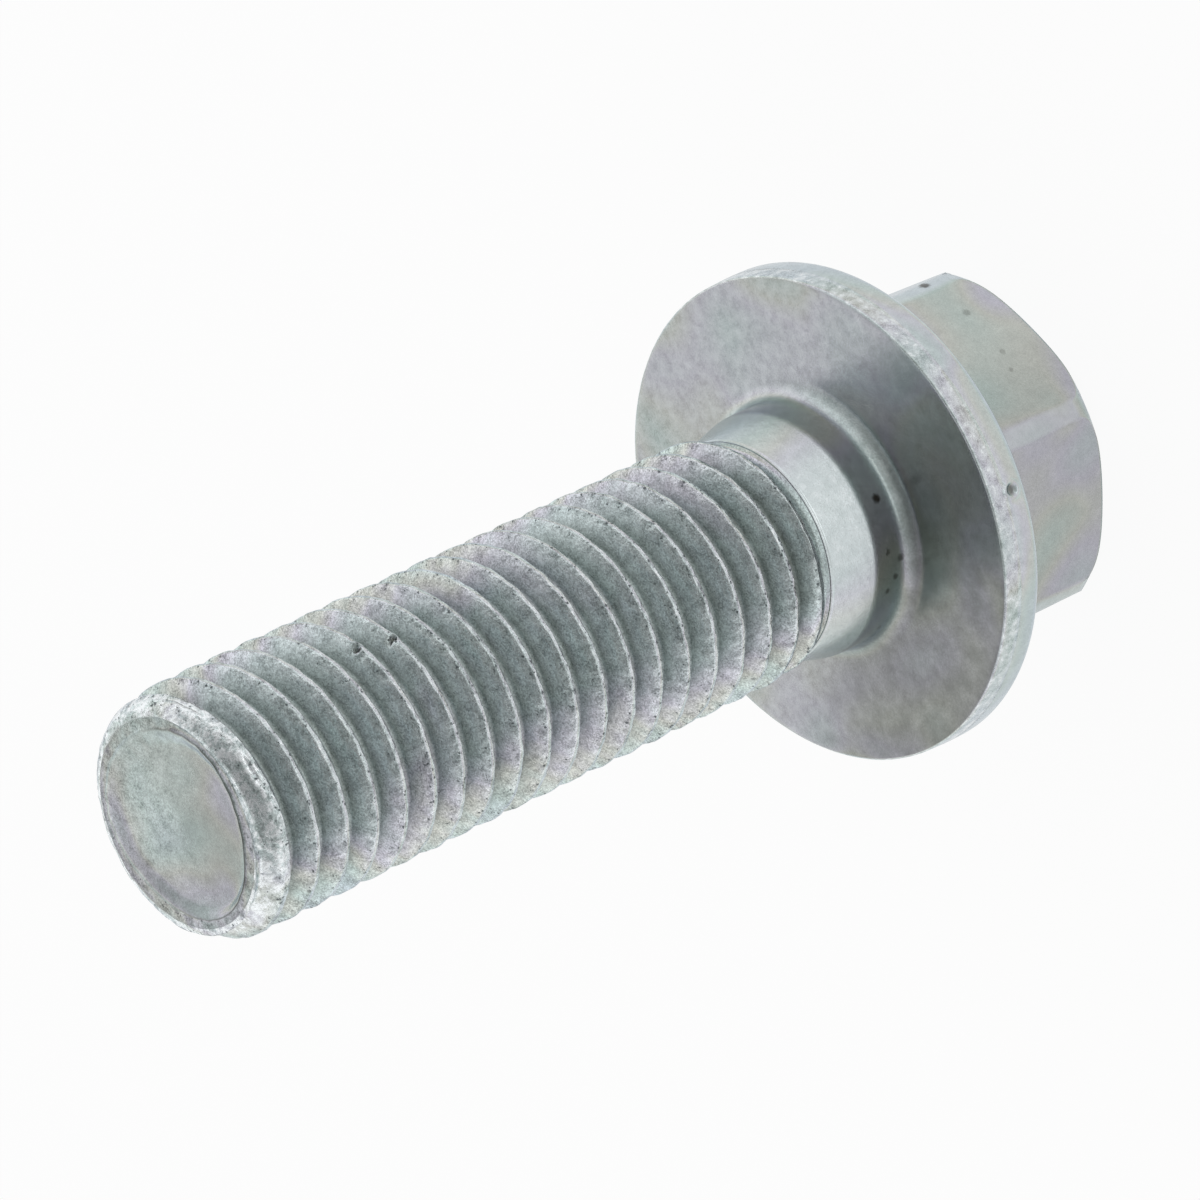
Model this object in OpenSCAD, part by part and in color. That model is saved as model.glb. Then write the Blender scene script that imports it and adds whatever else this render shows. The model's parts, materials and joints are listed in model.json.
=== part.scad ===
// Hexagon bolt with a forged flange and a rolled right-hand metric thread, M12 x 1.75 x 40.
// One solid of steel, standing on the flat end of its head with the thread pointing up.
// Sizes are in millimetres and angles in degrees.

/* [Thread] */
// Diameter over the thread crests
thread_diameter = 11.83; // [11.6:0.01:11.97]
// Advance of the helix in one turn
thread_pitch = 1.75; // [1.5:0.05:2]
// Height of a crest above the bearing face, on the +X side
crest_height = 0.99; // [0:0.01:1.75]
// Where the rolled thread begins, measured up from the bearing face
thread_start = 4.7; // [3.8:0.1:6]

/* [Shank] */
// From the bearing face to the end of the thread
bolt_length = 40; // [30:1:60]
// Plain body right under the head
body_diameter = 11.95; // [11.8:0.01:12.3]
// Plain body, from the bearing face to the taper
body_length = 2.3; // [1.6:0.1:3]
// Half angle of the taper from the body down to the thread
taper_angle = 14; // [10:1:18]
// Half angle at which the first groove dives out of the taper
dive_angle = 37; // [25:1:45]
// Fillet between the body and the bearing face
fillet_radius = 0.55; // [0.3:0.05:1]

/* [Thread end] */
// Rim of the end face
end_diameter = 10.1; // [9.7:0.05:10.4]
// Height of the chamfer round the end
end_chamfer = 1.9; // [1.2:0.1:2.6]
// Mouth of the shallow dish in the end face
dish_diameter = 8.8; // [7:0.1:9.3]
// Depth of the dish
dish_depth = 0.3; // [0.1:0.05:0.6]
// Half width of the dish's sloping wall
dish_wall = 0.35; // [0.2:0.05:1]

/* [Flange] */
// Diameter over the rim
flange_diameter = 23.6; // [22:0.1:27]
// Height of the rim, with its rounded back edge
rim_height = 2.45; // [1.9:0.05:3]
// Rounding of the back edge of the rim
rim_round = 0.6; // [0.3:0.05:0.9]
// Bevel round the bearing face
rim_bevel = 0.12; // [0.05:0.01:0.3]
// Slope of the back of the flange
flange_slope = 20; // [12:1:28]

/* [Head] */
// Hexagon across the flats
across_flats = 16; // [15:0.1:17]
// Diameter that trims the hexagon's corners
corner_diameter = 18; // [17.6:0.05:18.2]
// From the head's end to the bearing face
head_height = 10.8; // [9:0.1:12.5]
// Rounding from the trimmed corners to the flat round face on the head's end
crown_radius = 1.6; // [1:0.1:2.2]

/* [Hidden] */
$fn = 72;

// standard thread form: depth and root rounding as parts of the pitch, 60 degree flanks
thread_depth = 0.6134 * thread_pitch;
root_round = 0.1443 * thread_pitch;
flank_angle = 30;
columns = 32;
arc_fn = 24;

crest_r = thread_diameter / 2;
root_r = crest_r - thread_depth;
bearing_z = head_height;
end_z = bearing_z + bolt_length;

// one pitch of the profile as [distance along the axis from the mid crest, radius]
root_half = root_round * cos(flank_angle);
root_side_r = root_r + root_round * (1 - sin(flank_angle));
crest_half = thread_pitch / 2 - root_half - (crest_r - root_side_r) * tan(flank_angle);
PROFILE = [
    [-crest_half, crest_r],
    [crest_half, crest_r],
    [thread_pitch / 2 - root_half, root_side_r],
    [thread_pitch / 2, root_r],
    [thread_pitch / 2 + root_half, root_side_r],
];
points = len(PROFILE);

// the helix starts inside the body and runs past the end face, where the end's form trims it
buried = body_length - 0.4 - thread_pitch;
first_turn = floor((buried - crest_height) / thread_pitch);
turns = ceil((bolt_length - crest_height) / thread_pitch) + 2 - first_turn;
rows = turns * points;
helix_z = bearing_z + crest_height + first_turn * thread_pitch;
// rise of the first crests out of the taper
start_slope = 0.45;
body_r = body_diameter / 2;
taper_z = bearing_z + body_length;
start_z = bearing_z + thread_start;
taper_at_start = body_r - (start_z - taper_z) * tan(taper_angle);
// the taper's core ends this far inside the thread's root
core_r = root_r - 0.5;
core_z = start_z + (taper_at_start - core_r) / tan(dive_angle);
flange_r = flange_diameter / 2;
round_z = bearing_z - rim_height + rim_round;
slope_in_r = across_flats / 2 - 0.8;
slope_out_r = flange_r - rim_round + rim_round * sin(flange_slope);
slope_out_z = round_z - rim_round * cos(flange_slope);
slope_in_z = slope_out_z - (slope_out_r - slope_in_r) * tan(flange_slope);

// radius of the helical surface at one profile point, kept down where the thread begins
function thread_r(z, r) =
    min(r, max(root_r - 0.4, taper_at_start + (z - start_z) * start_slope));

function thread_point(column, row) =
    let (turn = floor(row / points))
    let (p = PROFILE[row - turn * points])
    let (a = 360 * column / columns)
    let (z = helix_z + thread_pitch * (turn + column / columns) + p[0])
    let (r = thread_r(z, p[1]))
    [r * cos(a), r * sin(a), z];

// index of a surface point; one full turn of columns lands one pitch higher
function index(column, row) =
    column < columns ? column * rows + row : row + points;

module thread_helix() {
    surface_points = [for (c = [0:columns - 1]) for (r = [0:rows - 1]) thread_point(c, r)];
    low = len(surface_points);
    high = low + 1;
    axis_points = [
        [0, 0, helix_z + thread_pitch / 2],
        [0, 0, helix_z + thread_pitch * (turns - 0.5)],
    ];
    last = rows - 1;
    skin = [
        for (c = [0:columns - 1])
        for (r = [0:last - 1])
        if (c < columns - 1 || r + 1 + points <= last)
        for (half = [0, 1])
        half == 0
            ? [index(c, r), index(c, r + 1), index(c + 1, r + 1)]
            : [index(c, r), index(c + 1, r + 1), index(c + 1, r)]
    ];
    low_rim = [for (c = [0:columns - 1]) [low, index(c, 0), index(c + 1, 0)]];
    low_step = [for (r = [0:points - 1]) [low, index(0, r + 1), index(0, r)]];
    high_rim = [for (c = [0:columns - 2]) [high, index(c + 1, last), index(c, last)]];
    high_step = [for (r = [last - points:last - 1]) [high, index(columns - 1, r + 1), index(columns - 1, r)]];
    high_join = [[high, index(0, last), index(columns - 1, last - points)]];
    polyhedron(
        points = concat(surface_points, axis_points),
        faces = concat(skin, low_rim, low_step, high_rim, high_step, high_join),
        convexity = 12
    );
}

// form of the shank's end: chamfer, narrow land and shallow dish
module end_form() {
    below = helix_z - thread_pitch;
    outside = crest_r + 2;
    end_r = end_diameter / 2;
    chamfer_slope = (crest_r - end_r) / end_chamfer;
    reach = (outside - end_r) / chamfer_slope;
    rotate_extrude()
        polygon([
            [0, below],
            [outside, below],
            [outside, end_z - reach],
            [end_r, end_z],
            [dish_diameter / 2, end_z],
            [dish_diameter / 2 - dish_wall, end_z - dish_depth],
            [0, end_z - dish_depth],
        ]);
}

// flange, fillet, plain body, taper and the core that dives inside the thread
module flange_and_body() {
    rotate_extrude()
        difference() {
            union() {
                polygon([
                    [0, slope_in_z],
                    [slope_in_r, slope_in_z],
                    [slope_out_r, slope_out_z],
                    [flange_r, round_z],
                    [flange_r, bearing_z - rim_bevel],
                    [flange_r - rim_bevel, bearing_z],
                    [body_r + fillet_radius, bearing_z],
                    [body_r + fillet_radius, bearing_z + fillet_radius],
                    [body_r, bearing_z + fillet_radius],
                    [body_r, taper_z],
                    [taper_at_start, start_z],
                    [core_r, core_z],
                    [0, core_z],
                ]);
                translate([flange_r - rim_round, round_z])
                    circle(r = rim_round, $fn = arc_fn);
            }
            translate([body_r + fillet_radius, bearing_z + fillet_radius])
                circle(r = fillet_radius, $fn = arc_fn);
        }
}

// hexagon with trimmed corners and a crowned end, reaching up into the flange
module hexagon() {
    top = slope_in_z + 0.6;
    corner_r = corner_diameter / 2;
    face_r = corner_r - crown_radius;
    intersection() {
        rotate([0, 0, 30])
            cylinder(h = top, d = across_flats / cos(30), $fn = 6);
        rotate_extrude()
            union() {
                square([face_r, top]);
                translate([0, crown_radius])
                    square([corner_r, top - crown_radius]);
                translate([face_r, crown_radius])
                    circle(r = crown_radius, $fn = arc_fn);
            }
    }
}

module hex_flange_bolt() {
    color([0.72, 0.74, 0.74])
        union() {
            intersection() {
                thread_helix();
                end_form();
            }
            flange_and_body();
            hexagon();
        }
}

hex_flange_bolt();
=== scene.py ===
"""Hexagon flange bolt M12 x 1.75 x 40, zinc plated, standing on the flat end of its head.

The bolt is one closed mesh. Its rolled thread is spun along the helix, and the neck, the flange and the
hexagon grow ring by ring from the thread's lower rim, and the dished end from its upper rim.
Shapes are worked out in millimetres and scaled to metres when the mesh is finished.
"""

import json
import math
from collections import namedtuple

import bmesh
import bpy
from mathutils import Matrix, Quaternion, Vector, noise


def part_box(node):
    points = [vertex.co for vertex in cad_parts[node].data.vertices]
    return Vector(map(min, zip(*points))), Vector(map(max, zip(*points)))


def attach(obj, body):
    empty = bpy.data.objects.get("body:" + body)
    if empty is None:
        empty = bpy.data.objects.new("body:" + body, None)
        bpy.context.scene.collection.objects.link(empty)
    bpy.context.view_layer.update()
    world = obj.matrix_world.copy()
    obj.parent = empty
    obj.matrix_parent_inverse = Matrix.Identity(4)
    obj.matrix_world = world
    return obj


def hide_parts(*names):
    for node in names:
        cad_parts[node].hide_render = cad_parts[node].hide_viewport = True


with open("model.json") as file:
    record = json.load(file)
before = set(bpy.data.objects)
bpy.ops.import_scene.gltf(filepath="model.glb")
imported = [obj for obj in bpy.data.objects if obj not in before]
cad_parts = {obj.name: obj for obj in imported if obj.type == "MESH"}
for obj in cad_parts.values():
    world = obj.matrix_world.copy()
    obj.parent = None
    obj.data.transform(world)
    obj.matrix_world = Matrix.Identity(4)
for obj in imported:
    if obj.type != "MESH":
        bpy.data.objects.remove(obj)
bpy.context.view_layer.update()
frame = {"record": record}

MM = 0.001
NODE = "hex_flange_bolt"
# the lightening and darkening states carry painted highlights and painted shade as well as real wear and
# dirt
State = namedtuple("State", ("grainy", "pitted", "rubbed", "soiled", "rolled"))

# Sizes that the frame gives
node_low, node_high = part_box(NODE)
mounts = {mount["name"]: mount for mount in frame["record"]["mounts"]}
flange_r = min(node_high[i] - node_low[i] for i in (0, 1)) / 2 / MM
end_z = node_high[2] / MM
bearing_z = mounts["bearing_face"]["pos_m"][2] / MM
crest_r = mounts["thread"]["dims"]["r_mm"]

# Thread, with heights measured up from the bearing face
pitch = 1.75
crest_height = 0.95
thread_depth = 0.6134 * pitch
root_round = 0.1443 * pitch
crest_flat = 0.05
crest_round = 0.10
slant = math.radians(60)
root_r = crest_r - thread_depth
# the first groove dives behind a narrow ridge, and the crests rise out of the taper
thread_start = 4.7
start_ridge = 0.3
start_rim = 0.98
start_rise = 0.45
start_dive = 1.4
# the crests round off to the end, and broken seams of lapped metal run along them there
bolt_length = end_z - bearing_z
tip_r = 4.9
tip_length = 1.9
tip_rim = 0.45
groove_fade = 2.0
seam_depth = 0.08
seam_half = 0.02
lap_gap = crest_flat + crest_round * math.sin(slant * 2 / 3)
# steps in one turn, and how near an open rim a row is moved onto it
columns = 150
rim_snap = 0.03
# sides with a painted highlight on the crests, lapped seams and a painted highlight on the flanks, and how
# far rolling drew the surface out
crest_sheen_side = math.radians(-100)
lap_side = math.radians(-75)
flank_sheen_side = math.radians(-40)
drawn_out = 0.25

# Unevenness of the knocked-about surface: wide knocks, small chips, wavy crests and a faint swell
knock_size = 0.7
knock_depth = 0.13
chip_size = 0.3
chip_depth = 0.12
sway_size = 0.6
sway = 0.11
swell_size = 2.6
swell_depth = 0.012
edge_band = 0.3

# Neck
body_r = 5.975
body_length = 2.3
taper = math.tan(math.radians(14))
taper_blend = 1.5
neck_fillet = 0.85
die_line = 0.12
die_line_depth = 0.08
start_r = body_r - (thread_start - body_length) * taper
# Sides of the neck: where the fillet is darkened by dirt and painted shade and the taper has a weaker
# painted highlight, and where the taper's main painted highlight lies
dirt_shade_sheen_side = math.radians(-150)
taper_sheen_side = math.radians(-85.84)

# Flange
rim_break = 0.12
rim_barrel = 0.04
rim_band = 1.0
rim_height = 2.45
rim_round = 0.6
flange_slope = math.radians(20)

# Hexagon and its crowned end
across_flats = 16.0
corner_r = 9.0
crown_r = 1.6
head_face_r = corner_r - crown_r
head_fillet = 0.5
# one flat of the hexagon is darkened: painted shade
shaded_flat_side = math.radians(-120)
flat_shade_share = 0.22

# Dished end: steep and deep on one side, and running out softly on the other
land_r = 4.38
land_lobe = 0.15
lobe_side = math.radians(-52)
land_ragged = 0.05
# width of the dark line along the dish's mouth
mouth_line_width = 0.05
dish_depth = 0.3
soft_depth = 0.1
steep_wall = 0.3
soft_wall = 1.2
soft_side = math.radians(60)

# Knocks, as (radius, angle in degrees, height above the bearing face, width, depth)
DENTS = [
    (crest_r - 0.1, -49.4, 30.7, 0.55, 0.24),
    (crest_r, -53.0, 28.77, 0.45, 0.22),
    (flange_r, -99.2, -1.36, 0.7, 0.09),
]
burr_height = 0.06

# Patterns of the plating: film patches, crystals and their clouds, bright flecks, pits, and smears of oily
# dirt and painted shade.
# The crystals are about 0.02 mm in reality and are drawn coarser, so that they show.
patch_size = 6.0
crystal_size = 0.05
cloud_size = 0.45
fleck_size = 0.22
pit_gap = 0.13
smear_size = 1.2
mark_ragged = 0.3

# Dark marks, as (radius, angle in degrees, height above the bearing face, width, strength)
MARKS = [
    (body_r, -89.6, 1.31, 0.55, 0.95),
    (body_r, -114.0, 1.5, 0.35, 0.6),
    (body_r, -119.0, 0.75, 0.45, 0.6),
    (body_r, -127.0, 1.05, 0.4, 0.65),
    (body_r, -133.0, 1.5, 0.4, 0.65),
    (body_r, -158.0, 1.0, 0.4, 0.6),
    (corner_r, -29.1, -7.85, 0.7, 0.85),
    (8.32, -44.1, -8.31, 0.5, 0.35),
    (8.01, -62.4, -8.23, 0.4, 0.3),
    (8.12, -69.7, -7.84, 0.35, 0.3),
    (5.4, -32.3, 39.46, 0.22, 0.9),
    (5.6, -123.2, 13.1, 0.7, 0.4),
]


def arc(centre_r, centre_z, radius, start, end, steps):
    """Points of a round stretch of an outline, with angles in degrees from the outward direction."""
    angles = [math.radians(start + (end - start) * i / steps) for i in range(steps + 1)]
    return [(centre_r + radius * math.cos(a), centre_z + radius * math.sin(a)) for a in angles]


def open_rim(bm, z):
    """The edges of the open rim that lies at height z."""
    return [e for e in bm.edges if e.is_boundary and abs(e.verts[0].co.z - z) < rim_snap]


def set_polar(vert, radius, angle, z):
    vert.co = (radius * math.cos(angle), radius * math.sin(angle), z)


def grow_ring(bm, rim, place):
    """Extrudes an open rim by one ring and puts its new vertices where place(angle) says."""
    made = bmesh.ops.extrude_edge_only(bm, edges=rim)["geom"]
    for vert in made:
        if isinstance(vert, bmesh.types.BMVert):
            angle = math.atan2(vert.co.y, vert.co.x)
            radius, z = place(angle)
            set_polar(vert, radius, angle, z)
    return [e for e in made if isinstance(e, bmesh.types.BMEdge) and e.is_boundary]


def grow_outline(bm, rim, outline):
    """Grows one round ring for each (radius, height) of an outline."""
    for radius, z in outline:
        rim = grow_ring(bm, rim, lambda angle: (radius, z))
    return rim


def close_centre(bm, rim, z):
    """Grows the last ring of a face and merges it to a point on the axis."""
    last = grow_ring(bm, rim, lambda angle: (rim_snap, z))
    verts = list({v for e in last for v in e.verts})
    bmesh.ops.pointmerge(bm, verts=verts, merge_co=(0, 0, z))


def crest_distance(angle, height):
    """Distance along the axis from the nearest crest of the helix."""
    turn = (height - crest_height) / pitch - angle / (2 * math.pi)
    return abs(turn - round(turn)) * pitch


def helix_r(distance):
    """Radius of the thread's form: narrow crest with rounded edges, straight flank and rounded root."""
    crest_edge = crest_flat + crest_round * math.sin(slant)
    root_edge = pitch / 2 - root_round * math.sin(slant)
    if distance < crest_flat:
        return crest_r
    if distance < crest_edge:
        return crest_r - crest_round + math.sqrt(crest_round ** 2 - (distance - crest_flat) ** 2)
    if distance > root_edge:
        return root_r + root_round - math.sqrt(root_round ** 2 - (pitch / 2 - distance) ** 2)
    high = crest_r - crest_round * (1 - math.cos(slant))
    low = root_r + root_round * (1 - math.cos(slant))
    return high + (low - high) * (distance - crest_edge) / (root_edge - crest_edge)


def thread_profile():
    """One pitch of the thread from root to root, as (height from the crest, radius)."""
    crest = [0.0] + [crest_flat + crest_round * math.sin(slant * i / 3) for i in range(4)]
    root = [pitch / 2 - root_round * math.sin(slant * i / 3) for i in range(3, -1, -1)]
    upper = crest + [(crest[-1] + root[0]) / 2] + root
    heights = [-z for z in reversed(upper[1:])] + upper
    return [(z, helix_r(abs(z))) for z in heights]


def crest_limit(height):
    """How far out the rolled metal reaches: it rises out of the neck and rounds down to the end."""
    start = start_r + (height - thread_start) * start_rise
    left = max(0.0, min(1.0, (bolt_length - height) / tip_length))
    end = tip_r + (crest_r - tip_r) * math.sqrt(left * (2 - left))
    return min(crest_r, start, end)


def groove_floor(height):
    """How deep the groove goes: it dives behind a narrow ridge at the neck and runs out before the end."""
    start = taper_r(height) - max(0.0, height - thread_start - start_ridge) * start_dive
    fade = max(0.0, 1 - (bolt_length - height) / groove_fade)
    return max(root_r, start, root_r + (tip_r - root_r) * fade * fade)


def lapped(angle, height):
    """1 on the broken seams that the rolling left along the crest at the end, and 0 beside them."""
    distance = crest_distance(angle, height)
    if min(distance, abs(distance - lap_gap)) > seam_half or height < bolt_length - tip_length:
        return 0.0
    along = Vector((math.cos(angle), math.sin(angle), distance * 9)) * 4
    broken = ease(-0.1, 0.3, noise.noise(along))
    rounded_off = ease(0.03, 0.2, crest_r - crest_limit(height))
    return broken * side_share(angle, lap_side, 0.5, 0.85) * rounded_off


def metal_r(angle, height):
    """Radius of the rolled thread, trimmed to the neck and the end."""
    rolled_r = max(helix_r(crest_distance(angle, height)), groove_floor(height))
    return min(crest_limit(height) - seam_depth * lapped(angle, height), rolled_r)


def spin_thread(bm):
    """Spins one pitch of the profile along the helix, then trims it to the neck and the end."""
    first = crest_height - pitch / 2
    bottom = thread_start + start_rim
    first += pitch * math.floor((bottom - pitch - first) / pitch)
    turns = math.ceil((bolt_length - first) / pitch)
    verts = [bm.verts.new((r, 0, first + pitch / 2 + z)) for z, r in thread_profile()]
    edges = [bm.edges.new(pair) for pair in zip(verts, verts[1:])]
    bmesh.ops.spin(bm, geom=verts + edges, cent=(0, 0, 0), axis=(0, 0, 1), angle=2 * math.pi,
                   dvec=(0, 0, pitch / columns), steps=columns, use_duplicate=False)
    turn = bm.verts[:] + bm.edges[:] + bm.faces[:]
    for step in range(1, turns):
        copy = bmesh.ops.duplicate(bm, geom=turn)["geom"]
        moved = [part for part in copy if isinstance(part, bmesh.types.BMVert)]
        bmesh.ops.translate(bm, vec=(0, 0, pitch * step), verts=moved)
    bmesh.ops.remove_doubles(bm, verts=bm.verts, dist=0.004)
    top = bolt_length - tip_rim
    for vert in bm.verts:
        angle = math.atan2(vert.co.y, vert.co.x)
        height = vert.co.z
        if height < bottom + rim_snap:
            height = bottom
        if height > top - rim_snap:
            height = top
        set_polar(vert, metal_r(angle, height), angle, height + bearing_z)
    bmesh.ops.remove_doubles(bm, verts=bm.verts, dist=0.002)


def taper_r(height):
    return body_r - (height - body_length) * taper


def grow_neck(bm):
    """First groove, die line, taper, plain body and the fillet down to the bearing face."""
    def groove(height):
        return lambda angle: (metal_r(angle, height), bearing_z + height)

    rim = open_rim(bm, bearing_z + thread_start + start_rim)
    groove_steps = 14
    for step in range(groove_steps - 1, -1, -1):
        rim = grow_ring(bm, rim, groove(thread_start + start_rim * step / groove_steps))
    below = thread_start - die_line
    half = taper_blend * math.tan(math.atan(taper) / 2)
    angle = math.degrees(math.atan(taper))
    blend = arc(body_r - taper_blend, body_length - half, taper_blend, angle, 0, 4)
    fillet = arc(body_r + neck_fillet, neck_fillet, neck_fillet, 180, 270, 10)
    outline = [(taper_r(below) - die_line_depth, thread_start - die_line / 3), (taper_r(below), below)]
    outline += [(taper_r(h), h) for h in (below - 0.1, below - 0.5, below - 0.9)]
    outline += blend
    outline += [(body_r, h) for h in (1.9, 1.5, 1.1)]
    outline += fillet
    return grow_outline(bm, rim, [(r, bearing_z + h) for r, h in outline])


def grow_flange(bm, rim):
    """Bearing face, rim with its rounded back edge, and the sloping back of the flange."""
    fine = bmesh.ops.subdivide_edges(bm, edges=rim, cuts=1)["geom_inner"]
    foot_r = body_r + neck_fillet
    for vert in fine:
        if isinstance(vert, bmesh.types.BMVert):
            set_polar(vert, foot_r, math.atan2(vert.co.y, vert.co.x), bearing_z)
    rim = open_rim(bm, bearing_z)
    face_r = flange_r - rim_barrel - rim_break
    outline = [(foot_r + 0.2, 0)]
    outline += [(foot_r + (face_r - foot_r) * share, 0) for share in (0.2, 0.4, 0.6, 0.8, 0.96)]
    outline += arc(face_r, -rim_break, rim_break, 90, 0, 4)
    straight = rim_height - rim_round
    outline += [(flange_r - rim_barrel * (1 - share), -rim_break - (rim_band - rim_break) * share)
                for share in (0.15, 0.4, 0.7, 0.95)]
    outline += [(flange_r - 0.02, -rim_band), (flange_r, -rim_band - 0.06), (flange_r, -straight + 0.3)]
    slope = math.degrees(flange_slope)
    outline += arc(flange_r - rim_round, -straight, rim_round, 0, -90 + slope, 8)
    return grow_outline(bm, rim, [(r, bearing_z + h) for r, h in outline])


def hexagon_r(angle):
    """Outline of the hexagon, with a flat on the +X side and trimmed corners."""
    sixth = math.pi / 3
    from_flat = (angle + sixth / 2) % sixth - sixth / 2
    return min(corner_r, across_flats / 2 / math.cos(from_flat))


def slope_z(radius):
    """Height of the sloping back of the flange."""
    turn = math.pi / 2 - flange_slope
    edge_r = flange_r - rim_round + rim_round * math.cos(turn)
    edge_z = bearing_z - rim_height + rim_round - rim_round * math.sin(turn)
    return edge_z - (edge_r - radius) * math.tan(flange_slope)


def grow_hexagon(bm, rim):
    """The hexagon from the flange's back down to its crowned, flat end."""
    def slope(share):
        def place(angle):
            inner = hexagon_r(angle) + head_fillet
            outer = flange_r - rim_round
            radius = outer + (inner - outer) * share
            return radius, slope_z(radius)
        return place

    def fillet(turn):
        def place(angle):
            radius = hexagon_r(angle) + head_fillet * (1 - math.sin(turn))
            return radius, slope_z(hexagon_r(angle) + head_fillet) - head_fillet * (1 - math.cos(turn))
        return place

    def crown(radius, share):
        turn = math.asin(min(1.0, (radius - head_face_r) / crown_r)) * share
        return head_face_r + crown_r * math.sin(turn), crown_r * (1 - math.cos(turn))

    def side(share):
        def place(angle):
            radius = hexagon_r(angle)
            top = slope_z(radius + head_fillet) - head_fillet
            return radius, top + (crown(radius, 1)[1] - top) * share
        return place

    def end(share):
        return lambda angle: crown(hexagon_r(angle), share)

    fillet_steps = 5
    stations = [slope(share) for share in (0.3, 0.6, 0.9, 1.0)]
    stations += [fillet(math.pi / 2 * i / fillet_steps) for i in range(1, fillet_steps + 1)]
    stations += [side(share) for share in (0.05, 0.25, 0.5, 0.75, 0.93, 0.985, 1.0)]
    stations += [end(share) for share in (0.97, 0.8, 0.6, 0.4, 0.2, 0.0)]
    for place in stations:
        rim = grow_ring(bm, rim, place)
    face = [(head_face_r * share, 0.0) for share in (0.97, 0.8, 0.5, 0.2)]
    rim = grow_outline(bm, rim, face)
    close_centre(bm, rim, 0.0)


def soft_share(angle):
    """1 on the side where the dish runs out softly, and 0 where its wall is steep."""
    return 0.5 + 0.5 * math.cos(angle - soft_side)


def dish_mouth(angle):
    """Edge of the dish, which the pressing left a little out of round."""
    lobes = land_lobe * math.cos(3 * (angle - lobe_side))
    return land_r + lobes + land_ragged * noise.noise(Vector((math.cos(angle), math.sin(angle), 0)) * 9)


def grow_end(bm):
    """The end of the thread: rounded edge, narrow land and shallow, tilted dish."""
    def edge(depth):
        return lambda angle: (metal_r(angle, bolt_length - depth), end_z - depth)

    def land(share):
        return lambda angle: (tip_r + (dish_mouth(angle) - tip_r) * share, end_z)

    def foot(angle):
        width = steep_wall + (soft_wall - steep_wall) * soft_share(angle)
        return dish_mouth(angle) - width

    def floor_z(radius, angle):
        middle = (dish_depth + soft_depth) / 2
        tilt = (dish_depth - soft_depth) / 2 * radius / land_r
        return end_z - middle + tilt * math.cos(angle - soft_side)

    def wall(share):
        def place(angle):
            top_r = dish_mouth(angle)
            low_r = foot(angle)
            low_z = floor_z(low_r, angle)
            return top_r + (low_r - top_r) * share, end_z + (low_z - end_z) * ease(0, 1, share)
        return place

    def floor(share):
        def place(angle):
            radius = foot(angle) * (1 - share)
            return radius, floor_z(radius, angle)
        return place

    wall_steps = 8
    floor_steps = 14
    stations = [edge(depth) for depth in (0.34, 0.24, 0.16, 0.1, 0.05, 0.02, 0.0)]
    stations += [land(share) for share in (0.15, 0.5, 0.8, 0.9)]
    stations += [wall(i / wall_steps) for i in range(wall_steps + 1)]
    stations += [floor(i / floor_steps) for i in range(1, floor_steps)]
    rim = open_rim(bm, end_z - tip_rim)
    for place in stations:
        rim = grow_ring(bm, rim, place)
    close_centre(bm, rim, floor_z(0, 0))


def ease(low, high, value):
    """Goes smoothly from 0 at low to 1 at high."""
    share = max(0.0, min(1.0, (value - low) / (high - low)))
    return share * share * (3 - 2 * share)


def thread_share(radius, height):
    """0 in the root of the thread and 1 on its crest."""
    floor = groove_floor(height)
    return max(0.0, min(1.0, (radius - floor) / max(0.05, crest_limit(height) - floor)))


def side_share(angle, side, low, high):
    """1 on the side of the bolt that faces an angle, and 0 away from it."""
    return ease(low, high, math.cos(angle - side))


def end_state(radius, angle):
    """The end face: grainy where the dish runs out and smooth at its steep wall, lighter on the soft side
    as painted light and darker on the steep wall as painted shade, with a rough land and a dark line along
    the dish's mouth.
    """
    mouth = dish_mouth(angle)
    land = ease(mouth - 0.02, mouth + 0.06, radius)
    soft = soft_share(angle) * (1 - land)
    steep = 1 - soft - land
    mouth_line = max(0.0, 1 - abs(radius - mouth) / mouth_line_width) * (1 - 0.8 * soft_share(angle))
    return State(
        grainy=0.35 + 0.65 * soft + 0.85 * land,
        pitted=0.5 * soft + 0.9 * land,
        # lighter where the dish runs out softly: painted light
        rubbed=0.05 + 0.3 * soft + 0.2 * land,
        # darker at the steep wall: painted shade; and a dark line along the mouth
        soiled=0.38 * steep + 0.12 * soft + 0.35 * land + 0.8 * mouth_line,
        rolled=0.0,
    )


def thread_state(radius, angle, height):
    """The thread: darkened in its root by oily dirt and painted shade, pitted towards the crest, worn
    lighter on the crests with painted highlights on one side's crests and flanks, and lightened at the end
    by wear and a painted highlight.
    """
    crest = thread_share(radius, height)
    tip = ease(bolt_length - 1.7, bolt_length - 0.7, height)
    head = 1 - ease(5.0, 14.0, height)
    behind = ease(thread_start + 0.2, thread_start + 0.9, height)
    worn = max(ease(0.45, 0.95, crest), 0.5 * tip)
    # crests: worn lighter, with a painted highlight on one side
    crest_wear_and_sheen = ease(0.7, 1.0, crest) * (0.2 + 0.55 * side_share(angle, crest_sheen_side, 0.3, 0.8))
    # flanks: painted highlight on one side
    flank_sheen = 0.6 * ease(0.4, 0.8, crest) * side_share(angle, flank_sheen_side, 0.8, 1.0)
    # roots: oily dirt and painted shade, darker towards the head
    soil_and_shade = (1 - ease(0.0, 0.62, crest)) * (0.58 + 0.25 * head) * (1 - tip) * behind
    return State(
        grainy=0.85 + 0.35 * worn,
        pitted=0.6 + 0.4 * worn,
        # the end is lightened all round: wear and a painted highlight
        rubbed=max(crest_wear_and_sheen, flank_sheen) * (1 - tip) + tip,
        soiled=max(soil_and_shade, lapped(angle, height)),
        rolled=drawn_out,
    )


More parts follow.
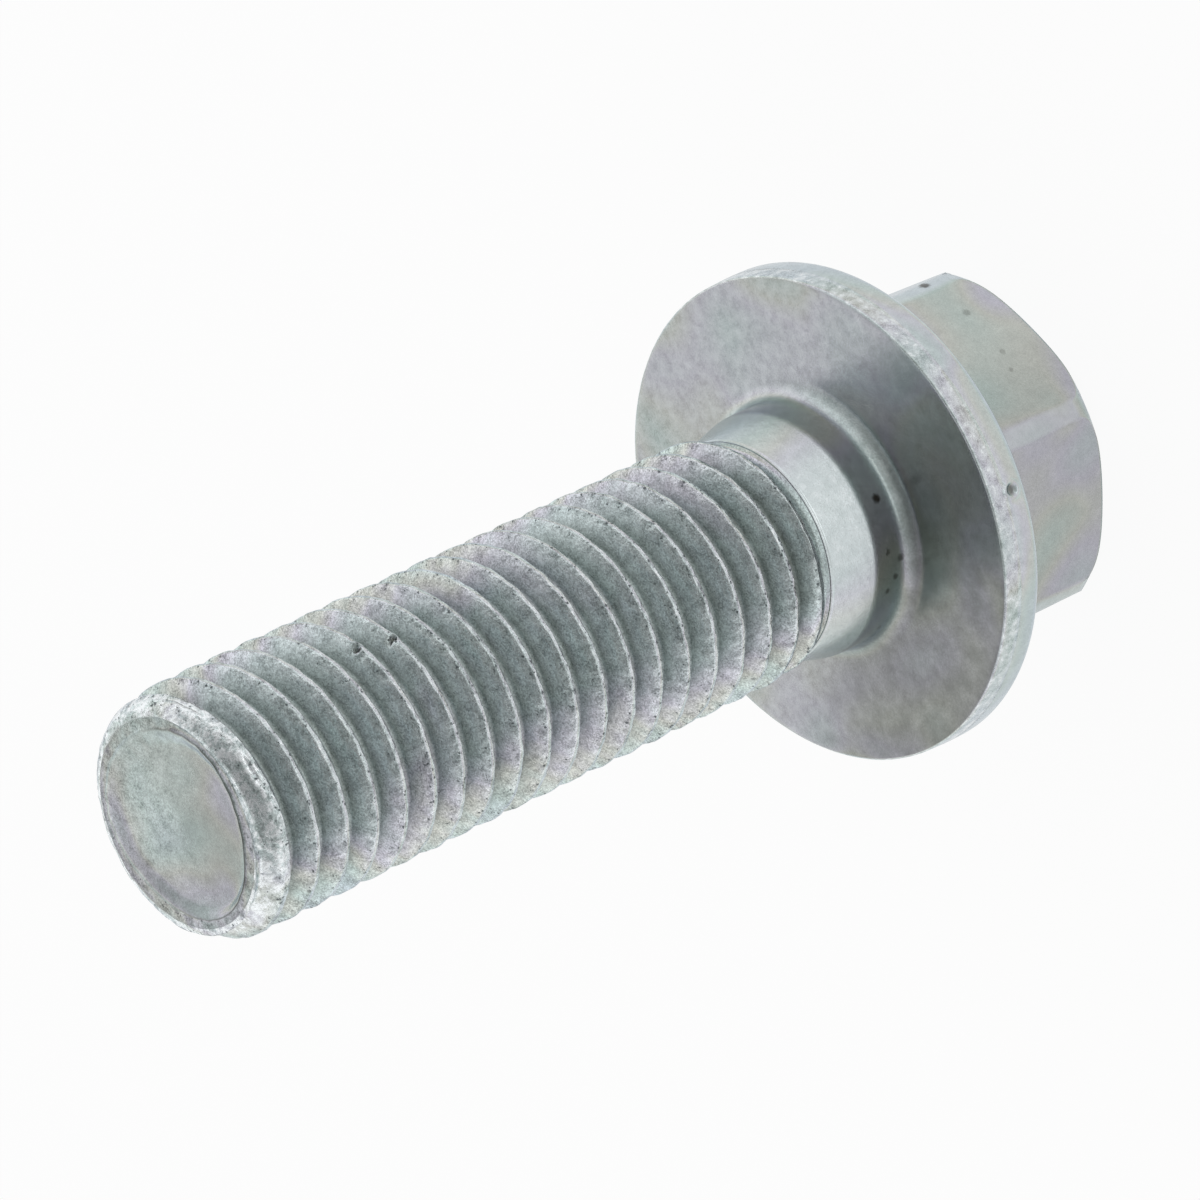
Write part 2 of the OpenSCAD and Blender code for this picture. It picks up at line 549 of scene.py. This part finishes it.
def neck_state(angle, height):
    """The neck: burnished taper with painted highlights on two sides, plain body darkened by an oily film
    and painted shade, and a fillet with a painted highlight, darkened on one side by dirt and painted
    shade.
    """
    fillet_dirt_and_shade = side_share(angle, dirt_shade_sheen_side, 0.2, 0.9)
    fillet = 1 - ease(0.2, neck_fillet, height)
    body = 1 - ease(body_length - 0.2, body_length + 0.2, height)
    # painted highlight on the taper, strong on one side and weaker on the fillet's shaded side
    painted_sheen = 0.5 * side_share(angle, taper_sheen_side, 0.75, 0.97) + 0.3 * side_share(angle, dirt_shade_sheen_side, 0.8, 1.0)
    return State(
        grainy=0.35,
        pitted=0.4 * body,
        # taper: burnish and painted highlight; fillet: painted highlight, weaker on its shaded side
        rubbed=min(0.85, 0.35 + painted_sheen) * (1 - body) + fillet * (0.5 - 0.3 * fillet_dirt_and_shade),
        # body: oily film and painted shade; fillet: dirt and painted shade, more on one side
        soiled=0.36 * body * (1 - fillet) + fillet * (0.25 + 0.45 * fillet_dirt_and_shade),
        rolled=drawn_out,
    )


def bearing_state(radius):
    """The bearing face: smooth, with painted shade towards the neck."""
    neck_shade = 1 - ease(body_r + 0.5, body_r + 1.6, radius)
    return State(grainy=0.08, pitted=0.0, rubbed=0.0, soiled=0.04 + 0.15 * neck_shade, rolled=0.0)


def rim_state(height):
    """The flange's rim: knocked, and worn bright on the band next to the bearing face."""
    front = ease(-rim_band - 0.1, -rim_band + 0.05, height)
    return State(
        grainy=0.3 + 0.4 * front,
        pitted=0.5 * front,
        rubbed=0.3 + 0.5 * front,
        soiled=0.05,
        rolled=0.0,
    )


def hexagon_state(radius, angle):
    """The hexagon and the flange's back: smooth, worn lighter on the trimmed corners, and darker on one
    flat, which is painted shade.
    """
    corner = ease(corner_r - 0.06, corner_r - 0.01, radius)
    # painted shade on the flat that faces this side
    flat_shade = flat_shade_share * side_share(angle, shaded_flat_side, 0.4, 0.8)
    return State(grainy=0.25, pitted=0.0, rubbed=0.5 * corner, soiled=0.04 + flat_shade, rolled=0.0)


def surface_state(radius, angle, height):
    """How grainy and pitted the plating is, how far it is worn bright and carries painted highlights, how
    far dirt and painted shade darken it, and how far rolling drew it out.
    """
    if height > bolt_length - dish_depth - 0.05 and radius < tip_r - 0.03:
        return end_state(radius, angle)
    if height >= thread_start:
        return thread_state(radius, angle, height)
    if height > 0:
        return neck_state(angle, height)
    if height > -0.01 and radius < flange_r - 0.3:
        return bearing_state(radius)
    if radius > flange_r - 0.5:
        return rim_state(height)
    return hexagon_state(radius, angle)


def polar(radius, degrees, height):
    """A place given by radius, angle and height above the bearing face."""
    angle = math.radians(degrees)
    return Vector((radius * math.cos(angle), radius * math.sin(angle), bearing_z + height))


def knock_dents(bm):
    """Presses a few dents into the edges, each darkened in its hollow with painted shade and with a burr
    round it.
    """
    soil_and_shade = bm.verts.layers.float["soiled"]
    for radius, degrees, height, width, depth in DENTS:
        place = polar(radius, degrees, height)
        outward = polar(1, degrees, -bearing_z)
        near = [e for e in bm.edges if max((v.co - place).length for v in e.verts) < width]
        bmesh.ops.subdivide_edges(bm, edges=near, cuts=3, use_grid_fill=True)
        for vert in bm.verts:
            reach = (vert.co - place).length / (width / 2)
            if reach < 2:
                hollow = 1 - ease(0.4, 1.0, reach)
                burr = burr_height * ease(0.7, 1.1, reach) * (1 - ease(1.1, 1.7, reach))
                vert.co += outward * (burr - depth * hollow)
                # the hollow is darkened: painted shade
                vert[soil_and_shade] = max(vert[soil_and_shade], hollow)


def roughen(bm):
    """Marks each vertex with the state of its plating, painted highlights and painted shade included, and
    presses knocked places in towards the axis.
    """
    layers = [bm.verts.layers.float.new(name) for name in State._fields]
    bm.normal_update()
    moves = []
    for vert in bm.verts:
        angle = math.atan2(vert.co.y, vert.co.x)
        state = surface_state(vert.co.xy.length, angle, vert.co.z - bearing_z)
        for layer, value in zip(layers, state):
            vert[layer] = value
        wave = 0.5 + 0.5 * noise.noise(vert.co / knock_size)
        swell = 0.5 + 0.5 * noise.noise(vert.co / swell_size)
        chip = 0.5 + 0.5 * noise.noise(vert.co / chip_size)
        knocked = max(state.pitted - 0.5, 0)
        pressed = (knock_depth * wave + chip_depth * chip) * knocked
        aside = sway * knocked * noise.noise(vert.co / sway_size)
        outward = Vector((math.cos(angle), math.sin(angle), 0))
        if vert.co.z > end_z - edge_band:
            outward = vert.normal
        moves.append(Vector((0, 0, aside)) - outward * pressed - vert.normal * swell_depth * swell)
    for vert, move in zip(bm.verts, moves):
        vert.co += move
        vert.co.z = max(0.0, min(end_z, vert.co.z))


def make_bolt(material):
    bm = bmesh.new()
    spin_thread(bm)
    rim = grow_neck(bm)
    rim = grow_flange(bm, rim)
    grow_hexagon(bm, rim)
    grow_end(bm)
    bmesh.ops.remove_doubles(bm, verts=bm.verts, dist=0.001)
    bmesh.ops.recalc_face_normals(bm, faces=bm.faces)
    roughen(bm)
    knock_dents(bm)
    for face in bm.faces:
        face.smooth = True
    bmesh.ops.scale(bm, vec=(MM, MM, MM), verts=bm.verts)
    mesh = bpy.data.meshes.new("bolt")
    bm.to_mesh(mesh)
    bm.free()
    bolt = bpy.data.objects.new("bolt", mesh)
    bpy.context.collection.objects.link(bolt)
    mesh.materials.append(material)
    return bolt


def linear(hex_colour):
    """An sRGB hex colour as linear RGBA."""
    parts = [int(hex_colour[i:i + 2], 16) / 255 for i in (1, 3, 5)]
    return [c / 12.92 if c <= 0.04045 else ((c + 0.055) / 1.055) ** 2.4 for c in parts] + [1.0]


def add(tree, kind, sockets={}, **settings):
    """Adds a node with its settings; a socket takes a value or another node's output."""
    made = tree.nodes.new("ShaderNode" + kind)
    for name, value in settings.items():
        setattr(made, name, value)
    for name, value in sockets.items():
        if isinstance(value, bpy.types.NodeSocket):
            tree.links.new(value, made.inputs[name])
        else:
            made.inputs[name].default_value = value
    return made


def new_material(name):
    material = bpy.data.materials.new(name)
    material.use_nodes = True
    material.node_tree.nodes.clear()
    return material, material.node_tree


def passivation_tint(tree, mm):
    """Colour of the thin film on the zinc: wide soft patches, whose tint turns with the angle of view."""
    patches = add(tree, "TexNoise", {"Vector": mm, "Scale": 1 / patch_size, "Detail": 1.0,
                                     "Distortion": 0.3})
    thickness = add(tree, "MapRange", {"Value": patches.outputs[0], "To Min": 0.28, "To Max": 0.72})
    turned = add(tree, "LayerWeight", {"Blend": 0.5}).outputs["Facing"]
    order = add(tree, "Math", {0: turned, 1: 0.5, 2: thickness.outputs[0]}, operation="MULTIPLY_ADD")
    tint = add(tree, "ValToRGB", {"Fac": order.outputs[0]})
    tints = [(0.40, "#AFBDB9"), (0.57, "#B0BCBD"), (0.65, "#BAB9C3"), (0.70, "#BBBDB7"), (0.77, "#B0BEBA"),
             (0.87, "#AFBCC4")]
    while len(tint.color_ramp.elements) < len(tints):
        tint.color_ramp.elements.new(0.5)
    for element, (position, colour) in zip(tint.color_ramp.elements, tints):
        element.position = position
        element.color = linear(colour)
    return tint.outputs[0]


def add_mottle(tree, colour, crystal, cloud, grainy):
    """Lightens and darkens the plating by its crystals and by soft clouds of them."""
    by_crystal = add(tree, "MapRange", {"Value": crystal, "To Min": -0.36, "To Max": 0.36}).outputs[0]
    by_cloud = add(tree, "MapRange", {"Value": cloud, "From Min": 0.2, "From Max": 0.8, "To Min": -0.3,
                                      "To Max": 0.3}, clamp=False).outputs[0]
    mottle = add(tree, "Math", {0: by_crystal, 1: by_cloud}, operation="ADD").outputs[0]
    level = add(tree, "Math", {0: mottle, 1: grainy, 2: 1.0}, operation="MULTIPLY_ADD").outputs[0]
    return add(tree, "VectorMath", {0: colour, "Scale": level}, operation="SCALE").outputs[0]


def polish_and_sheen_share(tree, cloud, state):
    """How far rubbing against other parts has burnished the plating and painted highlights lighten it,
    patchily where it is pitted too.
    """
    least = add(tree, "MapRange", {"Value": state.pitted, "From Min": 0.0, "From Max": 0.5, "To Min": 0.6,
                                   "To Max": 0.1}).outputs[0]
    patchy = add(tree, "MapRange", {"Value": cloud, "From Min": 0.35, "From Max": 0.65, "To Min": least,
                                    "To Max": 0.8}).outputs[0]
    return add(tree, "Math", {0: state.rubbed, 1: patchy}, operation="MULTIPLY").outputs[0]


def bright_flecks(tree, flecks, cloud, state):
    """Where bare metal shines through as flecks, most on worn edges that were struck as well."""
    brink = add(tree, "Math", {0: state.rubbed, 1: -0.85, 2: 1.30}, operation="MULTIPLY_ADD").outputs[0]
    above = add(tree, "Math", {0: flecks, 1: brink}, operation="SUBTRACT").outputs[0]
    thinned = add(tree, "MapRange", {"Value": cloud, "From Min": 0.3, "From Max": 0.7, "To Min": -0.2,
                                     "To Max": 0.2}).outputs[0]
    above = add(tree, "Math", {0: above, 1: thinned}, operation="ADD").outputs[0]
    struck = add(tree, "MapRange", {"Value": state.pitted, "From Min": 0.0, "From Max": 0.5, "To Min": 0.2,
                                    "To Max": 0.85}).outputs[0]
    return add(tree, "MapRange", {"Value": above, "From Min": 0.0, "From Max": 0.15,
                                  "To Max": struck}).outputs[0]


def barrel_pits(tree, mm, around, cloud, pitted):
    """Small ragged pits from the plating barrel, up to about 0.12 mm across, in loose clusters."""
    pit_reach = 0.5
    pit_ragged = 0.12
    grain = add(tree, "TexNoise", {"Vector": mm, "Scale": 1 / crystal_size, "Detail": 1.0})
    jagged = add(tree, "VectorMath", {0: grain.outputs["Color"], 1: (pit_ragged,) * 3, 2: around},
                 operation="MULTIPLY_ADD")
    spots = add(tree, "TexVoronoi", {"Vector": jagged.outputs[0], "Scale": 1 / pit_gap})
    chance = add(tree, "SeparateColor", {0: spots.outputs["Color"]}).outputs[0]
    chance = add(tree, "Math", {0: chance, 1: 2.5}, operation="POWER").outputs[0]
    cluster = add(tree, "MapRange", {"Value": cloud, "From Min": 0.35, "From Max": 0.65,
                                     "To Min": 1.3 * pit_reach, "To Max": 0.5 * pit_reach}).outputs[0]
    reach = add(tree, "Math", {0: chance, 1: cluster}, operation="MULTIPLY").outputs[0]
    often = add(tree, "Math", {0: pitted, 1: 2.0}, operation="POWER").outputs[0]
    reach = add(tree, "Math", {0: reach, 1: often}, operation="MULTIPLY").outputs[0]
    inside = add(tree, "Math", {0: reach, 1: spots.outputs["Distance"]}, operation="SUBTRACT").outputs[0]
    return add(tree, "MapRange", {"Value": inside, "From Min": 0.0, "From Max": 0.08,
                                  "To Max": 0.85}).outputs[0]


def oily_soil_and_shade(tree, mm, soiled):
    """Dark oily film and painted shade, in soft smears: in the roots, on the neck, the bearing face and the
    dish, and in the dents.
    """
    smear = add(tree, "TexNoise", {"Vector": mm, "Scale": 1 / smear_size, "Detail": 4.0, "Roughness": 0.6})
    smear = add(tree, "MapRange", {"Value": smear.outputs[0], "From Min": 0.30, "From Max": 0.65,
                                   "To Min": 0.7, "To Max": 1.0}).outputs[0]
    return add(tree, "Math", {0: smear, 1: soiled}, operation="MULTIPLY").outputs[0]


def add_marks(tree, colour, mm, flecks):
    """Lays the dark marks over the plating, with ragged edges."""
    ragged = add(tree, "VectorMath", {0: flecks, 1: (mark_ragged,) * 3, 2: mm},
                 operation="MULTIPLY_ADD").outputs[0]
    shift = Vector((mark_ragged,) * 3) / 2
    for mark_r, degrees, height, width, strength in MARKS:
        middle = polar(mark_r, degrees, height) + shift
        away = add(tree, "VectorMath", {0: ragged, 1: middle}, operation="DISTANCE").outputs["Value"]
        mark = add(tree, "MapRange", {"Value": away, "From Min": width / 2, "From Max": width / 4,
                                      "To Max": strength}).outputs[0]
        colour = add(tree, "Mix", {0: mark, 6: colour, 7: linear("#38332D")}, data_type="RGBA").outputs[2]
    return colour


def zinc_plated_steel():
    """Steel plated with zinc in a tumbling barrel and passivated.

    The plating is a satin silver with fine crystals. The thin passivation film tints it straw, lilac, blue
    and green in wide soft patches. Edges that knock together are pitted and rubbed bright.
    """
    material, tree = new_material("zinc_plated_steel")
    place = add(tree, "TexCoord").outputs["Object"]
    mm = add(tree, "Mapping", {"Vector": place, "Scale": (1 / MM, 1 / MM, 1 / MM)}).outputs[0]
    state = State(*[add(tree, "Attribute", attribute_name=name).outputs["Fac"] for name in State._fields])

    # rolling draws marks out round the axis
    stretch = 5.0
    drawn = add(tree, "VectorMath", {0: mm, 1: (1 / stretch, 1 / stretch, 1.0)}, operation="MULTIPLY")
    around = add(tree, "Mix", {0: state.rolled, 4: mm, 5: drawn.outputs[0]}, data_type="VECTOR").outputs[1]

    crystal = add(tree, "TexVoronoi", {"Vector": around, "Scale": 1 / crystal_size}).outputs["Color"]
    crystal = add(tree, "SeparateColor", {0: crystal}).outputs[0]
    cloud = add(tree, "TexNoise", {"Vector": around, "Scale": 1 / cloud_size, "Detail": 3.0,
                                   "Roughness": 0.55}).outputs[0]
    flecks = add(tree, "TexNoise", {"Vector": mm, "Scale": 1 / fleck_size, "Detail": 3.0,
                                    "Roughness": 0.65})
    polish_and_sheen = polish_and_sheen_share(tree, cloud, state)
    pit = barrel_pits(tree, mm, around, cloud, state.pitted)

    colour = add_mottle(tree, passivation_tint(tree, mm), crystal, cloud, state.grainy)
    layers = [
        # burnish and painted highlight
        (polish_and_sheen, "#DDE3E5"),
        (bright_flecks(tree, flecks.outputs[0], cloud, state), "#EAEEF0"),
        (pit, "#4E5457"),
        # oily dirt and painted shade
        (oily_soil_and_shade(tree, mm, state.soiled), "#595C57"),
    ]
    for share, shade in layers:
        colour = add(tree, "Mix", {0: share, 6: colour, 7: linear(shade)}, data_type="RGBA").outputs[2]
    colour = add_marks(tree, colour, mm, flecks.outputs["Color"])

    roughness = add(tree, "MapRange", {"Value": state.grainy, "From Min": 0.1, "From Max": 0.9,
                                       "To Min": 0.25, "To Max": 0.31}).outputs[0]
    roughness = add(tree, "Math", {0: polish_and_sheen, 1: -0.12, 2: roughness}, operation="MULTIPLY_ADD").outputs[0]
    knocked = add(tree, "MapRange", {"Value": state.pitted, "From Min": 0.5, "From Max": 1.0}).outputs[0]
    normal = add(tree, "Bump", {"Height": cloud, "Distance": 0.12 * MM, "Strength": knocked}).outputs[0]
    normal = add(tree, "Bump", {"Height": crystal, "Distance": 0.008 * MM, "Strength": state.grainy,
                                "Normal": normal}).outputs[0]
    normal = add(tree, "Bump", {"Height": pit, "Distance": 0.02 * MM, "Strength": 1.0, "Normal": normal},
                 invert=True).outputs[0]
    shader = add(tree, "BsdfPrincipled", {
        "Base Color": colour, "Metallic": 1.0, "Roughness": roughness, "Normal": normal})
    add(tree, "OutputMaterial", {"Surface": shader.outputs[0]})
    return material


def white_floor():
    """Matt white board, lifted to white for the camera and for reflections, with the bolt's shadow kept."""
    lift_share = 0.92
    material, tree = new_material("white_board")
    path = add(tree, "LightPath")
    seen = path.outputs["Is Camera Ray"]
    for ray in ("Is Glossy Ray", "Is Transmission Ray"):
        seen = add(tree, "Math", {0: seen, 1: path.outputs[ray]}, operation="MAXIMUM").outputs[0]
    lift = add(tree, "Math", {0: seen, 1: lift_share}, operation="MULTIPLY")
    board = add(tree, "BsdfDiffuse", {"Color": linear("#FCFCFC")})
    glow = add(tree, "Emission", {"Color": linear("#FFFFFF"), "Strength": 1.0})
    mix = add(tree, "MixShader", {0: lift.outputs[0], 1: board.outputs[0], 2: glow.outputs[0]})
    add(tree, "OutputMaterial", {"Surface": mix.outputs[0]})
    return material


def make_floor():
    bm = bmesh.new()
    bmesh.ops.create_grid(bm, x_segments=1, y_segments=1, size=3.0)
    mesh = bpy.data.meshes.new("floor")
    bm.to_mesh(mesh)
    bm.free()
    mesh.materials.append(white_floor())
    floor = bpy.data.objects.new("floor", mesh)
    bpy.context.collection.objects.link(floor)


def light_studio():
    """A pale tent that dims towards its roof and the camera's opening, with white behind the bolt."""
    world = bpy.data.worlds.new("studio")
    bpy.context.scene.world = world
    world.use_nodes = True
    tree = world.node_tree
    tree.nodes.clear()
    wall_level = 1.2
    roof_level = 0.44
    wall_top = math.sin(math.radians(30))
    roof_edge = math.sin(math.radians(74))
    opening = direction(-95, 40)
    opening_edge = (math.cos(math.radians(62)), math.cos(math.radians(32)))
    opening_share = 0.6
    path = add(tree, "LightPath")
    way = add(tree, "TexCoord").outputs["Generated"]
    height = add(tree, "SeparateXYZ", {0: way}).outputs["Z"]
    tent = add(tree, "MapRange", {"Value": height, "From Min": wall_top, "From Max": roof_edge,
                                  "To Min": wall_level, "To Max": roof_level}).outputs[0]
    near = add(tree, "VectorMath", {0: way, 1: opening}, operation="DOT_PRODUCT").outputs["Value"]
    dim = add(tree, "MapRange", {"Value": near, "From Min": opening_edge[0], "From Max": opening_edge[1],
                                 "To Min": 1.0, "To Max": opening_share},
              interpolation_type="SMOOTHSTEP").outputs[0]
    level = add(tree, "Math", {0: tent, 1: dim}, operation="MULTIPLY").outputs[0]
    cloth = add(tree, "Background", {"Color": linear("#FFFFFF"), "Strength": level})
    white = add(tree, "Background", {"Color": linear("#FFFFFF"), "Strength": 1.0})
    seen = path.outputs["Is Camera Ray"]
    mix = add(tree, "MixShader", {0: seen, 1: cloth.outputs[0], 2: white.outputs[0]})
    add(tree, "OutputWorld", {"Surface": mix.outputs[0]})

    add_softbox("front_strip", Vector((0.02, -0.30, 0.026)), 0.30, 0.05, 0.9)


def add_softbox(name, place, width, height, level):
    """A flat lamp that faces the bolt; level is how bright its face looks, with white as 1."""
    lamp = bpy.data.lights.new(name, "AREA")
    lamp.shape = "RECTANGLE"
    lamp.size = width
    lamp.size_y = height
    lamp.energy = level * math.pi * width * height
    box = bpy.data.objects.new(name, lamp)
    bpy.context.collection.objects.link(box)
    box.location = place
    middle = Vector((0, 0, end_z * MM / 2))
    box.rotation_euler = (middle - box.location).to_track_quat("-Z", "Y").to_euler()
    box.visible_camera = False


def direction(azimuth, elevation):
    """Unit vector towards an azimuth and an elevation in degrees."""
    around = math.radians(azimuth)
    up = math.radians(elevation)
    return Vector((math.cos(up) * math.cos(around), math.cos(up) * math.sin(around), math.sin(up)))


def place_camera():
    """The photograph's view: from the side and above, turned until the bolt lies across the picture."""
    roll = math.radians(115.26)
    distance = 402.0 * MM
    target = Vector((0.91, 0.05, 24.34)) * MM
    out = direction(-87.0, 38.87)
    lens = bpy.data.cameras.new("camera")
    lens.lens = 268.69
    lens.sensor_width = 36.0
    camera = bpy.data.objects.new("camera", lens)
    bpy.context.collection.objects.link(camera)
    camera.location = target + out * distance
    turn = (-out).to_track_quat("-Z", "Y") @ Quaternion((0, 0, 1), -roll)
    camera.rotation_euler = turn.to_euler()
    bpy.context.scene.camera = camera


place_camera()
bpy.context.scene.view_settings.view_transform = "Standard"
bolt = make_bolt(zinc_plated_steel())
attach(bolt, "root")
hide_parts(NODE)
make_floor()
light_studio()
